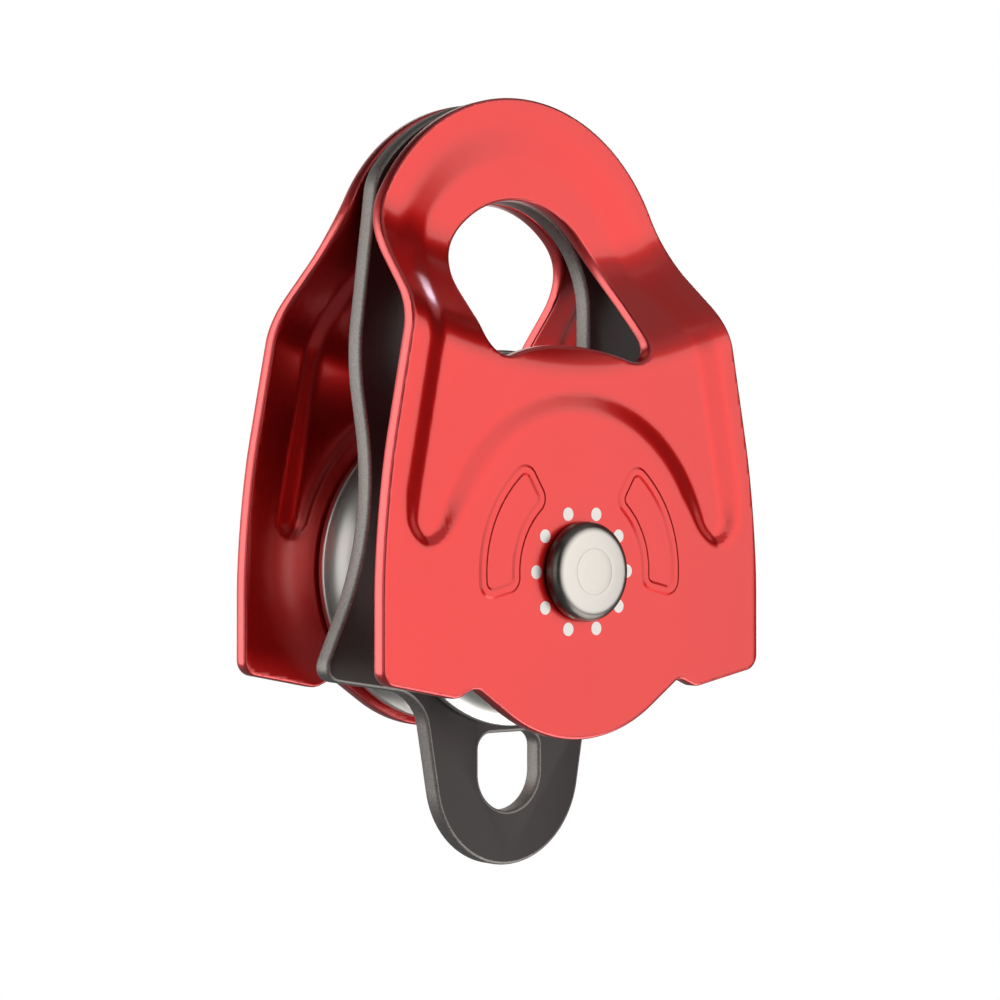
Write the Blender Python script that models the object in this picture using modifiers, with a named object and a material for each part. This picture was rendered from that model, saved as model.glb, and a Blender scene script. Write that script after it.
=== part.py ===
"""Twin-sheave rope pulley with two swinging side plates and a becket on its centre plate.

Metres, +Z up. The origin is the crown of the carabiner hole in the centre plate, where the
pulley hangs. X runs across the plates and Y along the axle, with the front plate at -Y.
"""

import math

import bmesh
import bpy
from mathutils import Matrix, Vector
from mathutils.geometry import delaunay_2d_cdt

# Clearances
CONTACT_GAP = 0.0003
HEAD_CLEARANCE = 0.0003
SHEAVE_SIDE_CLEARANCE = 0.0007

# Side plates, heights measured from the axle
PLATE_THICKNESS = 0.0030
ROPE_GAP = 0.0180
HEAD_HEIGHT = 0.0524
HEAD_RADIUS = 0.0364
HOLE_HEIGHT = 0.0498
HOLE_RADIUS = 0.0199
HOLE_FLOOR_RADIUS = 0.0417
HOLE_CORNER_RADIUS = 0.0044
HALF_WIDTH = 0.0453
SIDE_TAPER = math.radians(11)
SHOULDER_RADIUS = 0.1500
CORNER_DROP = 0.0190
CORNER_RADIUS = 0.0030
LOBE_WIDTH = 0.0044
LOBE_DROP = 0.0222
LOBE_RADIUS = 0.0036
NOTCH_ANGLE = math.radians(-39.6)
NOTCH_STANDOFF = 0.0012
NOTCH_RADIUS = 0.0020
BULGE_RADIUS = 0.0307

# Pressing of the side plates: a bent-in head, and a sunken panel that guards the sheave
PANEL_DEPTH = 0.0015
PANEL_RIM = 0.0033
PANEL_SLOPE = 0.0050
PANEL_DISC_RADIUS = 0.0281
PANEL_TIP_HEIGHT = 0.0014
PANEL_TIP_RADIUS = 0.0080
BEND_START = 0.0332
BEND_LENGTH = 0.0275
BEND_CURVE_RADIUS = 0.0820

# Centre plate, heights measured from the axle
CENTRE_THICKNESS = 0.0038
CENTRE_HEAD_HEIGHT = 0.0506
CENTRE_HEAD_RADIUS = 0.0380
TEMPLE_ANGLE = math.radians(34.5)
TEMPLE_RADIUS = 0.0100
NECK_HEIGHT = 0.0386
NECK_RADIUS = 0.0400
WAIST_HALF_WIDTH = 0.0328
WAIST_HEIGHT = 0.0170
WAIST_RADIUS = 0.0600
WAIST_RISE = math.radians(9.1)
WAIST_FLARE = math.radians(24.7)
FOOT_DROP = 0.0192
FOOT_RADIUS = 0.0030
BECKET_DROP = 0.0381
BECKET_RADIUS = 0.0175
BECKET_TAPER = math.radians(10)
BECKET_ROOT_DROP = 0.0228
BECKET_ROOT_RADIUS = 0.0080
SLOT_RADIUS = 0.0073
SLOT_TOP_DROP = 0.0306
SLOT_CORNER_RADIUS = 0.0030

# Axle and what is fixed on it
AXLE_RADIUS = 0.0060
RIVET_RADIUS = 0.0042
AXLE_HEAD_RADIUS = 0.00915
AXLE_HEAD_HEIGHT = 0.0032
AXLE_HEAD_ROUND = 0.0027
BUSH_WALL = 0.0014

# Bearings
BALL_RADIUS = 0.00238
BALL_COUNT = 8
BALL_CIRCLE_RADIUS = 0.0100
BEARING_RADIUS = 0.0140
BEARING_WIDTH = 0.0080
RACE_LAND = 0.0014
SEAL_THICKNESS = 0.0004
CAGE_THICKNESS = 0.0013
CAGE_RAIL = 0.0006

# Sheaves
SHEAVE_RADIUS = 0.0293
GROOVE_DEPTH = 0.0047
FLANGE_LIP = 0.0016
FLANGE_ROUND = 0.0006
RIM_WALL = 0.0026
WEB_THICKNESS = 0.0094
HUB_WALL = 0.0029
SEAT_LIP_WIDTH = 0.0015
SEAT_LIP_HEIGHT = 0.0012

# Facets
ARC_STEP = math.radians(10)
GROOVE_FACETS = 6
RACE_FACETS = 5
HEAD_ROUND_FACETS = 6
POCKET_FACETS = 12
PANEL_SHARES = (0.0, 0.5, 1.0)
BEND_FACETS = 7
BEND_LINE_FACETS = 9
TURN_STEPS = 36
BEARING_TURN_STEPS = 24
BALL_SEGMENTS = 8
BALL_RINGS = 6
SMOOTH_ANGLE = math.radians(35)
MERGE_DISTANCE = 0.00003

# Sides of the centre plate along Y
FRONT = -1
REAR = 1

# Places along the axle, as distances from the centre plate's middle
PLATE_INNER_Y = CENTRE_THICKNESS / 2 + ROPE_GAP
PLATE_OUTER_Y = PLATE_INNER_Y + PLATE_THICKNESS
SHEAVE_Y = CENTRE_THICKNESS / 2 + ROPE_GAP / 2
HEAD_SEAT_Y = PLATE_OUTER_Y + CONTACT_GAP
AXLE_END_Y = HEAD_SEAT_Y + AXLE_HEAD_HEIGHT
INNER_SPACER = (CENTRE_THICKNESS / 2 + CONTACT_GAP, SHEAVE_Y - BEARING_WIDTH / 2 - CONTACT_GAP)
OUTER_SPACER = (SHEAVE_Y + BEARING_WIDTH / 2 + CONTACT_GAP, PLATE_INNER_Y - CONTACT_GAP)

# Sizes that follow from those above
AXLE_Z = -(HOLE_HEIGHT + HOLE_RADIUS)
HEAD_BEND = ROPE_GAP - HEAD_CLEARANCE - PANEL_DEPTH
SHEAVE_WIDTH = ROPE_GAP - 2 * SHEAVE_SIDE_CLEARANCE
AXLE_BORE_RADIUS = AXLE_RADIUS + CONTACT_GAP
BUSH_RADIUS = AXLE_BORE_RADIUS + BUSH_WALL
PLATE_BORE_RADIUS = BUSH_RADIUS + CONTACT_GAP
INNER_LAND_RADIUS = BALL_CIRCLE_RADIUS - RACE_LAND
OUTER_LAND_RADIUS = BALL_CIRCLE_RADIUS + RACE_LAND
RACE_GROOVE_RADIUS = BALL_RADIUS + CONTACT_GAP
CAGE_WIDTH = 2 * (BALL_RADIUS + CONTACT_GAP + CAGE_RAIL)

RED = (0.55, 0.012, 0.016, 1.0)
BLACK = (0.016, 0.014, 0.015, 1.0)
SILVER = (0.74, 0.74, 0.73, 1.0)
STEEL = (0.62, 0.61, 0.58, 1.0)
BRONZE = (0.45, 0.28, 0.12, 1.0)
RUBBER = (0.02, 0.02, 0.02, 1.0)


def new_collection(name):
    collection = bpy.data.collections.new(name)
    bpy.context.scene.collection.children.link(collection)
    return collection


def new_material(name, colour, roughness, metallic):
    material = bpy.data.materials.new(name)
    material.use_nodes = True
    shader = material.node_tree.nodes["Principled BSDF"]
    shader.inputs["Base Color"].default_value = colour
    shader.inputs["Roughness"].default_value = roughness
    shader.inputs["Metallic"].default_value = metallic
    material.diffuse_color = colour
    return material


def add_object(name, mesh, material):
    """A named object whose origin is on the axle, at the middle of the centre plate."""
    obj = bpy.data.objects.new(name, mesh)
    pulley.objects.link(obj)
    obj.location = (0.0, 0.0, AXLE_Z)
    if not mesh.materials:
        mesh.materials.append(material)
    return obj


def mesh_from(bm, name):
    mesh = bpy.data.meshes.new(name)
    bm.to_mesh(mesh)
    bm.free()
    return mesh


def shade_round(obj):
    obj.data.shade_smooth()
    obj.data.set_sharp_from_angle(angle=SMOOTH_ANGLE)


def arc(centre, radius, start, end, facets=None):
    """Points along an arc, both ends included."""
    count = facets or max(2, math.ceil(abs(end - start) / ARC_STEP))
    angles = [start + (end - start) * index / count for index in range(count + 1)]
    return [Vector(centre) + radius * Vector((math.cos(a), math.sin(a))) for a in angles]


def rounded_corner(before, corner, after, radius):
    """Points that round a corner between two straight runs, limited by their lengths."""
    corner = Vector(corner)
    back = Vector(before) - corner
    ahead = Vector(after) - corner
    half = back.angle(ahead) / 2
    reach = min(radius / math.tan(half), back.length / 2, ahead.length / 2)
    radius = reach * math.tan(half)
    centre = corner + (back.normalized() + ahead.normalized()).normalized() * reach / math.cos(half)
    first = corner + back.normalized() * reach - centre
    last = corner + ahead.normalized() * reach - centre
    start = math.atan2(first.y, first.x)
    sweep = math.atan2(first.x * last.y - first.y * last.x, first.dot(last))
    return arc(centre, radius, start, start + sweep)


def rounded_path(corners):
    """Points along (x, z, radius) corners, without the two ends."""
    points = []
    for before, corner, after in zip(corners, corners[1:], corners[2:]):
        points += rounded_corner(before[:2], corner[:2], after[:2], corner[2])
    return points


def whole(half):
    """A closed outline from its right half, whose two ends lie on the middle line."""
    return half + [Vector((-point.x, point.y)) for point in reversed(half[1:-1])]


def side_line(inset):
    """Right side of the side plate's upper outline, moved in: head, taper and upright side."""
    head = arc((0.0, HEAD_HEIGHT), HEAD_RADIUS - inset, math.pi / 2, SIDE_TAPER)
    upright = HALF_WIDTH - inset
    shoulder = head[-1].y - (upright - head[-1].x) / math.tan(SIDE_TAPER)
    return head, Vector((upright, shoulder))


def plate_outline():
    """Right half of a side plate's outline, from its top down to its lowest point."""
    head, shoulder = side_line(0.0)
    notch = Vector((math.cos(NOTCH_ANGLE), math.sin(NOTCH_ANGLE)))
    notch *= BULGE_RADIUS + NOTCH_STANDOFF
    bulge_angle = NOTCH_ANGLE - math.acos(BULGE_RADIUS / notch.length)
    bulge = arc((0.0, 0.0), BULGE_RADIUS, bulge_angle, -math.pi / 2)
    sides = rounded_path([
        (*head[-1], 0.0),
        (*shoulder, SHOULDER_RADIUS),
        (HALF_WIDTH, -CORNER_DROP, CORNER_RADIUS),
        (notch.x + LOBE_WIDTH, -LOBE_DROP, LOBE_RADIUS),
        (*notch, NOTCH_RADIUS),
        (*bulge[0], 0.0),
    ])
    return head + sides + bulge


def hole_outline():
    """Right half of the carabiner hole, from its floor up to its crown."""
    corner_x = HOLE_RADIUS - HOLE_CORNER_RADIUS
    corner_angle = math.acos(corner_x / (HOLE_FLOOR_RADIUS + HOLE_CORNER_RADIUS))
    corner = (corner_x, corner_x * math.tan(corner_angle))
    floor = arc((0.0, 0.0), HOLE_FLOOR_RADIUS, math.pi / 2, corner_angle)
    side = arc(corner, HOLE_CORNER_RADIUS, corner_angle - math.pi, 0.0)
    crown = arc((0.0, HOLE_HEIGHT), HOLE_RADIUS, 0.0, math.pi / 2)
    return floor[:-1] + side + crown


def panel_line(share):
    """Level line of the sunken panel, from its shoulder (0) to its foot (1)."""
    head, shoulder = side_line(PANEL_RIM + share * PANEL_SLOPE)
    tip = PANEL_TIP_HEIGHT + share * PANEL_SLOPE
    radius = PANEL_DISC_RADIUS + share * PANEL_SLOPE
    arch = arc((0.0, 0.0), radius, math.asin(tip / radius), math.pi / 2)
    return head + [shoulder, Vector((shoulder.x, tip))] + arch


def bend_line(share):
    """Level line of the bend below the head, from its start (0) to its end (1)."""
    points = []
    for index in range(BEND_LINE_FACETS + 1):
        x = HALF_WIDTH * index / BEND_LINE_FACETS
        points.append(Vector((x, BEND_START + share * BEND_LENGTH + bend_rise(x))))
    return points


def bend_rise(x):
    return x * x / (2 * BEND_CURVE_RADIUS)


def edge_distance(x, z):
    """How far a point of the side plate lies inside its upper outline."""
    from_head = Vector((x, z - HEAD_HEIGHT))
    if math.atan2(from_head.y, from_head.x) > SIDE_TAPER:
        return HEAD_RADIUS - from_head.length
    across = Vector((math.cos(SIDE_TAPER), math.sin(SIDE_TAPER)))
    return min(HALF_WIDTH - x, HEAD_RADIUS - from_head.dot(across))


def inside_tip(beside, above):
    """Distance inside a leg of the panel, from one side and the tip, with a round corner between."""
    beside = max(PANEL_TIP_RADIUS - beside, 0.0)
    above = max(PANEL_TIP_RADIUS - above, 0.0)
    return PANEL_TIP_RADIUS - math.hypot(beside, above)


def panel_sink(x, z):
    """How far the M-shaped panel is pressed in: nought on the rim and over the sheave."""
    above = z - PANEL_TIP_HEIGHT
    to_rim = inside_tip(edge_distance(x, z) - PANEL_RIM, above)
    to_disc = inside_tip(math.hypot(x, z) - PANEL_DISC_RADIUS, above)
    share = min(to_rim, to_disc, PANEL_SLOPE) / PANEL_SLOPE
    return PANEL_DEPTH * max(share, 0.0) ** 2


def head_bend(x, z):
    """How far the head is bent in towards the centre plate."""
    share = (z - bend_rise(x) - BEND_START) / BEND_LENGTH
    share = min(max(share, 0.0), 1.0)
    return HEAD_BEND * share * share * (3 - 2 * share)


def side_plate_mesh():
    """Right half of the front side plate's outer skin, meshed along its pressing lines."""
    bore = arc((0.0, 0.0), PLATE_BORE_RADIUS, -math.pi / 2, math.pi / 2)
    points = plate_outline() + bore + hole_outline()
    points.reverse()
    boundary = list(range(len(points)))
    lines = [panel_line(share) for share in PANEL_SHARES]
    lines += [bend_line(index / BEND_FACETS) for index in range(BEND_FACETS + 1)]
    creases = []
    for line in lines:
        first = len(points)
        points += line
        creases += [(first + index, first + index + 1) for index in range(len(line) - 1)]
    inside_only = 1
    flat, _, faces, _, _, _ = delaunay_2d_cdt(
        points, creases, [boundary], inside_only, MERGE_DISTANCE / 10)
    bm = bmesh.new()
    for point in flat:
        x, z = max(point.x, 0.0), point.y
        bm.verts.new((x, panel_sink(x, z) + head_bend(x, z) - PLATE_OUTER_Y, z))
    bm.verts.ensure_lookup_table()
    for face in faces:
        corners = [bm.verts[index] for index in face]
        if max(corner.co.x for corner in corners) > MERGE_DISTANCE:
            bm.faces.new(corners)
    loose = [vert for vert in bm.verts if not vert.link_faces]
    bmesh.ops.delete(bm, geom=loose, context="VERTS")
    bmesh.ops.remove_doubles(bm, verts=bm.verts[:], dist=MERGE_DISTANCE)
    bmesh.ops.dissolve_degenerate(bm, edges=bm.edges[:], dist=MERGE_DISTANCE)
    return mesh_from(bm, "side_plate")


def side_plate(name, mesh, turn):
    """A pressed plate: the other half is mirrored and the sheet gets its thickness."""
    obj = add_object(name, mesh, new_material(name, RED, 0.38, 0.6))
    obj.rotation_euler.z = turn
    mirror = obj.modifiers.new("other_half", "MIRROR")
    mirror.use_clip = True
    mirror.merge_threshold = MERGE_DISTANCE / 2
    sheet = obj.modifiers.new("sheet", "SOLIDIFY")
    sheet.thickness = PLATE_THICKNESS
    sheet.offset = -1.0
    sheet.use_even_offset = True
    sheet.use_quality_normals = True
    shade_round(obj)
    return obj


def centre_outline():
    """Right half of the centre plate's outline, from its top down to the becket's lowest point."""
    head = arc((0.0, CENTRE_HEAD_HEIGHT), CENTRE_HEAD_RADIUS, math.pi / 2, TEMPLE_ANGLE)
    waist_centre = (WAIST_HALF_WIDTH + WAIST_RADIUS, WAIST_HEIGHT)
    waist = arc(waist_centre, WAIST_RADIUS, math.pi - WAIST_RISE, math.pi + WAIST_FLARE)
    becket = arc((0.0, -BECKET_DROP), BECKET_RADIUS, -BECKET_TAPER, -math.pi / 2)
    neck_x = waist[0].x + (NECK_HEIGHT - waist[0].y) * math.tan(WAIST_RISE)
    foot_x = waist[-1].x + (FOOT_DROP + waist[-1].y) * math.tan(WAIST_FLARE)
    root_x = becket[0].x - (BECKET_ROOT_DROP + becket[0].y) * math.tan(BECKET_TAPER)
    upper = rounded_path([
        (*head[-2], 0.0),
        (*head[-1], TEMPLE_RADIUS),
        (neck_x, NECK_HEIGHT, NECK_RADIUS),
        (*waist[0], 0.0),
    ])
    lower = rounded_path([
        (*waist[-1], 0.0),
        (foot_x, -FOOT_DROP, FOOT_RADIUS),
        (root_x, -BECKET_ROOT_DROP, BECKET_ROOT_RADIUS),
        (*becket[0], 0.0),
    ])
    return head[:-1] + upper + waist + lower + becket


def slot_outline():
    """Right half of the becket's slot, from its flat top down round its lower end."""
    corner = (SLOT_RADIUS, -SLOT_TOP_DROP)
    top = Vector((0.0, -SLOT_TOP_DROP))
    end = arc((0.0, -BECKET_DROP), SLOT_RADIUS, 0.0, -math.pi / 2)
    return [top] + rounded_corner(top, corner, end[0], SLOT_CORNER_RADIUS) + end


def centre_plate():
    """A flat plate: its outline and holes are filled as one curve, then made a mesh."""
    outline = bpy.data.curves.new("centre_outline", "CURVE")
    outline.dimensions = "2D"
    outline.fill_mode = "BOTH"
    outline.extrude = CENTRE_THICKNESS / 2
    bore = arc((0.0, 0.0), AXLE_BORE_RADIUS, math.pi / 2, -math.pi / 2)
    for half in (centre_outline(), hole_outline(), bore, slot_outline()):
        points = whole(half)
        spline = outline.splines.new("POLY")
        spline.points.add(len(points) - 1)
        spline.use_cyclic_u = True
        for target, point in zip(spline.points, points):
            target.co = (point.x, point.y, 0.0, 1.0)
    drawing = bpy.data.objects.new("centre_outline", outline)
    pulley.objects.link(drawing)
    drawn = drawing.evaluated_get(bpy.context.evaluated_depsgraph_get())
    bm = bmesh.new()
    bm.from_mesh(drawn.to_mesh())
    bpy.data.objects.remove(drawing)
    bmesh.ops.remove_doubles(bm, verts=bm.verts[:], dist=MERGE_DISTANCE)
    bmesh.ops.rotate(bm, verts=bm.verts[:], matrix=Matrix.Rotation(math.pi / 2, 3, "X"))
    bmesh.ops.recalc_face_normals(bm, faces=bm.faces[:])
    mesh = mesh_from(bm, "centre_plate")
    return add_object("centre_plate", mesh, new_material("centre_plate", BLACK, 0.5, 0.5))


def turned(name, profile, material, side, along=0.0, steps=BEARING_TURN_STEPS):
    """A turned piece of (radius, height) points. Heights point outwards on the piece's side."""
    mesh = bpy.data.meshes.new(name)
    vertices = [(radius, 0.0, height) for radius, height in profile]
    edges = [(index, index + 1) for index in range(len(profile) - 1)]
    if profile[0][0] > 0.0:
        edges.append((len(profile) - 1, 0))
    mesh.from_pydata(vertices, edges, [])
    obj = add_object(name, mesh, material)
    obj.location.y = side * along
    obj.rotation_euler.x = -side * math.pi / 2
    screw = obj.modifiers.new("turning", "SCREW")
    screw.steps = steps
    screw.render_steps = steps
    screw.use_merge_vertices = True
    screw.merge_threshold = MERGE_DISTANCE / 2
    screw.use_smooth_shade = True
    return obj


def ring(inner, outer, low, high):
    """Profile of a plain ring, down its outer side and up its inner side."""
    return [(outer, high), (outer, low), (inner, low), (inner, high)]


def axle():
    shoulder = HEAD_SEAT_Y - CONTACT_GAP
    profile = [
        (0.0, AXLE_END_Y), (RIVET_RADIUS, AXLE_END_Y), (RIVET_RADIUS, shoulder),
        (AXLE_RADIUS, shoulder), (AXLE_RADIUS, -shoulder),
        (RIVET_RADIUS, -shoulder), (RIVET_RADIUS, -AXLE_END_Y), (0.0, -AXLE_END_Y),
    ]
    return turned("axle", profile, new_material("axle", STEEL, 0.3, 1.0), FRONT)


def axle_head(name, side):
    """A button riveted on the axle's end, with a rounded shoulder."""
    centre = (AXLE_HEAD_RADIUS - AXLE_HEAD_ROUND, AXLE_END_Y - AXLE_HEAD_ROUND)
    shoulder = arc(centre, AXLE_HEAD_ROUND, math.pi / 2, 0.0, HEAD_ROUND_FACETS)
    bore = RIVET_RADIUS + CONTACT_GAP
    profile = [tuple(point) for point in shoulder]
    profile += [(AXLE_HEAD_RADIUS, HEAD_SEAT_Y), (bore, HEAD_SEAT_Y), (bore, AXLE_END_Y)]
    return turned(name, profile, new_material(name, STEEL, 0.28, 1.0), side, steps=TURN_STEPS)


def sheave(name, side):
    """A grooved wheel with a thinner web, and a bored hub with a lip that the bearing seats on."""
    half = SHEAVE_WIDTH / 2
    groove_half = half - FLANGE_LIP
    groove_radius = (groove_half ** 2 + GROOVE_DEPTH ** 2) / (2 * GROOVE_DEPTH)
    spread = math.asin(groove_half / groove_radius)
    groove_centre = (SHEAVE_RADIUS - GROOVE_DEPTH + groove_radius, 0.0)
    groove = arc(groove_centre, groove_radius, math.pi - spread, math.pi + spread, GROOVE_FACETS)
    rim = SHEAVE_RADIUS - GROOVE_DEPTH - RIM_WALL
    web = WEB_THICKNESS / 2
    bore = BEARING_RADIUS + CONTACT_GAP
    hub = bore + HUB_WALL
    seat = BEARING_WIDTH / 2 + CONTACT_GAP
    hub_half = seat + SEAT_LIP_WIDTH
    lip = BEARING_RADIUS - SEAT_LIP_HEIGHT
    profile = [(SHEAVE_RADIUS - FLANGE_ROUND, half), (SHEAVE_RADIUS, half - FLANGE_ROUND)]
    profile += [tuple(point) for point in groove]
    profile += [
        (SHEAVE_RADIUS, FLANGE_ROUND - half), (SHEAVE_RADIUS - FLANGE_ROUND, -half),
        (rim, -half), (rim, -web), (hub, -web), (hub, -hub_half),
        (lip, -hub_half), (lip, -seat), (bore, -seat), (bore, hub_half),
        (hub, hub_half), (hub, web), (rim, web), (rim, half),
    ]
    material = new_material(name, SILVER, 0.35, 1.0)
    return turned(name, profile, material, side, SHEAVE_Y, TURN_STEPS)


def race_groove(facing):
    """Points of a race's groove: -1 for the inner race, seen from outside, and 1 for the outer."""
    spread = math.acos(RACE_LAND / RACE_GROOVE_RADIUS)
    middle = math.pi if facing < 0 else 0.0
    centre = (BALL_CIRCLE_RADIUS, 0.0)
    points = arc(centre, RACE_GROOVE_RADIUS, middle - spread, middle + spread, RACE_FACETS)
    return [tuple(point) for point in points]


def bearing_races(end, side):
    half = BEARING_WIDTH / 2
    inner = [(INNER_LAND_RADIUS, half)] + race_groove(-1)
    inner += [(INNER_LAND_RADIUS, -half), (AXLE_BORE_RADIUS, -half), (AXLE_BORE_RADIUS, half)]
    outer = [(BEARING_RADIUS, half), (BEARING_RADIUS, -half), (OUTER_LAND_RADIUS, -half)]
    outer += race_groove(1) + [(OUTER_LAND_RADIUS, half)]
    for name, profile in (("inner_race", inner), ("outer_race", outer)):
        name = f"{end}_bearing_{name}"
        turned(name, profile, new_material(name, STEEL, 0.2, 1.0), side, SHEAVE_Y)


def bearing_seals(end, side):
    high = BEARING_WIDTH / 2
    low = high - SEAL_THICKNESS
    inner = INNER_LAND_RADIUS + CONTACT_GAP
    outer = OUTER_LAND_RADIUS - CONTACT_GAP
    for name, bottom, top in (("outer_seal", low, high), ("inner_seal", -high, -low)):
        name = f"{end}_bearing_{name}"
        material = new_material(name, RUBBER, 0.6, 0.0)
        turned(name, ring(inner, outer, bottom, top), material, side, SHEAVE_Y)


def ball_turns():
    """Turns about the axle that set out the balls."""
    angles = [2 * math.pi * index / BALL_COUNT for index in range(BALL_COUNT)]
    return [Matrix.Rotation(angle, 4, "Z") for angle in angles]


def bearing_cage(end, side):
    """A ring with a round pocket for each ball."""
    name = f"{end}_bearing_cage"
    inner = BALL_CIRCLE_RADIUS - CAGE_THICKNESS / 2
    outer = BALL_CIRCLE_RADIUS + CAGE_THICKNESS / 2
    profile = ring(inner, outer, -CAGE_WIDTH / 2, CAGE_WIDTH / 2)
    cage = turned(name, profile, new_material(name, BRONZE, 0.4, 1.0), side, SHEAVE_Y)
    lie_outwards = Matrix.Rotation(math.pi / 2, 4, "Y")
    move_out = Matrix.Translation((BALL_CIRCLE_RADIUS, 0.0, 0.0))
    bm = bmesh.new()
    for turn in ball_turns():
        bmesh.ops.create_cone(
            bm, cap_ends=True, segments=POCKET_FACETS, radius1=BALL_RADIUS + CONTACT_GAP,
            radius2=BALL_RADIUS + CONTACT_GAP, depth=3 * CAGE_THICKNESS,
            matrix=turn @ move_out @ lie_outwards)
    pockets = bpy.data.objects.new(f"{end}_cage_pockets", mesh_from(bm, "cage_pockets"))
    cutters.objects.link(pockets)
    pockets.location = cage.location
    pockets.rotation_euler = cage.rotation_euler
    pockets.hide_render = True
    pockets.display_type = "WIRE"
    cut = cage.modifiers.new("pockets", "BOOLEAN")
    cut.operation = "DIFFERENCE"
    cut.object = pockets


def bearing_balls(end, side, mesh):
    material = new_material(f"{end}_balls", STEEL, 0.12, 1.0)
    for index, turn in enumerate(ball_turns()):
        obj = add_object(f"{end}_ball_{index + 1}", mesh, material)
        place = turn @ Vector((BALL_CIRCLE_RADIUS, 0.0, 0.0))
        obj.location += Vector((place.x, side * SHEAVE_Y, place.y))


def ball_mesh():
    bm = bmesh.new()
    bmesh.ops.create_uvsphere(
        bm, u_segments=BALL_SEGMENTS, v_segments=BALL_RINGS, radius=BALL_RADIUS)
    mesh = mesh_from(bm, "ball")
    mesh.shade_smooth()
    return mesh


def axle_rings(end, side):
    """The bush that a side plate swings on, and the spacers on both sides of a bearing."""
    bush = ring(AXLE_BORE_RADIUS, BUSH_RADIUS, PLATE_INNER_Y, PLATE_OUTER_Y)
    name = f"{end}_plate_bush"
    turned(name, bush, new_material(name, BRONZE, 0.4, 1.0), side)
    for name, place in (("inner_spacer", INNER_SPACER), ("outer_spacer", OUTER_SPACER)):
        name = f"{end}_{name}"
        spacer = ring(AXLE_BORE_RADIUS, INNER_LAND_RADIUS, *place)
        turned(name, spacer, new_material(name, STEEL, 0.35, 1.0), side)


for old in list(bpy.data.objects):
    bpy.data.objects.remove(old, do_unlink=True)

pulley = new_collection("rope_pulley")
cutters = new_collection("cutters")

centre_plate()
axle()
plate_skin = side_plate_mesh()
ball_skin = ball_mesh()
for end_name, end_side, plate_turn in (("front", FRONT, 0.0), ("rear", REAR, math.pi)):
    side_plate(f"{end_name}_side_plate", plate_skin, plate_turn)
    axle_head(f"{end_name}_axle_head", end_side)
    axle_rings(end_name, end_side)
    sheave(f"{end_name}_sheave", end_side)
    bearing_races(end_name, end_side)
    bearing_seals(end_name, end_side)
    bearing_cage(end_name, end_side)
    bearing_balls(end_name, end_side, ball_skin)
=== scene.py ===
"""Looks of the twin rope pulley: its plates, sheaves and axle as fine meshes, finishes and studio."""

import math

import bmesh
import bpy
from mathutils import Matrix, Vector


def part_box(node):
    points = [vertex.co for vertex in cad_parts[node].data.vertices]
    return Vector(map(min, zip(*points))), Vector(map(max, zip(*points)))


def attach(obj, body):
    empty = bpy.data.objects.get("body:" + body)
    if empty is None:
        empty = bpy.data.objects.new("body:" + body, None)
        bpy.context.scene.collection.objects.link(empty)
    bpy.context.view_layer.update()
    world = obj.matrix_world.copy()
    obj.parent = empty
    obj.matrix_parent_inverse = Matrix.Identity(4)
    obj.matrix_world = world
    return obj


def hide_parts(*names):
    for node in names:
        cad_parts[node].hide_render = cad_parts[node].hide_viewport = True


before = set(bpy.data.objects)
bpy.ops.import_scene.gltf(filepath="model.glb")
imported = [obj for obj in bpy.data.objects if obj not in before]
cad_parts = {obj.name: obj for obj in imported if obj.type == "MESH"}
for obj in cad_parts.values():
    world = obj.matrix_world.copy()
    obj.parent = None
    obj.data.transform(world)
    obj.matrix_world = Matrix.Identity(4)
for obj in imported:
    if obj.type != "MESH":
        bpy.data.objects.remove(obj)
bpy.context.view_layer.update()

# Places along the axle and heights, read from the frame
FRONT = -1
REAR = 1
AXLE_LOW, AXLE_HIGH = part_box("axle")
AXLE_HEIGHT = (AXLE_LOW.z + AXLE_HIGH.z) / 2
AXLE_END = AXLE_HIGH.y
PLATE_LOW, PLATE_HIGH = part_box("front_side_plate")
PLATE_FACE = -PLATE_LOW.y
CENTRE_LOW, CENTRE_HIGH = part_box("centre_plate")
SHEAVE_LOW, SHEAVE_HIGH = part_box("rear_sheave")
HEAD_LOW, HEAD_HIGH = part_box("rear_axle_head")

# Side plates, measured from the axle
PLATE_THICKNESS = 0.0030
HALF_WIDTH = PLATE_HIGH.x
HEAD_CENTRE = 0.0524
HEAD_RADIUS = PLATE_HIGH.z - AXLE_HEIGHT - HEAD_CENTRE
SIDE_TAPER = math.radians(11)
SHOULDER_RADIUS = 0.1500
CORNER_DROP = 0.0190
CORNER_RADIUS = 0.0030
BULGE_RADIUS = AXLE_HEIGHT - PLATE_LOW.z
NOTCH_ANGLE = math.radians(-39.6)
NOTCH_STANDOFF = 0.0012
NOTCH_RADIUS = 0.0020
LOBE_WIDTH = 0.0044
LOBE_DROP = 0.0222
LOBE_RADIUS = 0.0036
PLATE_BORE = 0.0080
PLATE_EDGE_ROUND = 0.0006

# Carabiner hole of all three plates
HOLE_CENTRE = 0.0498
HOLE_RADIUS = 0.0199
HOLE_FLOOR = 0.0417
HOLE_CORNER_RADIUS = 0.0044

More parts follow.
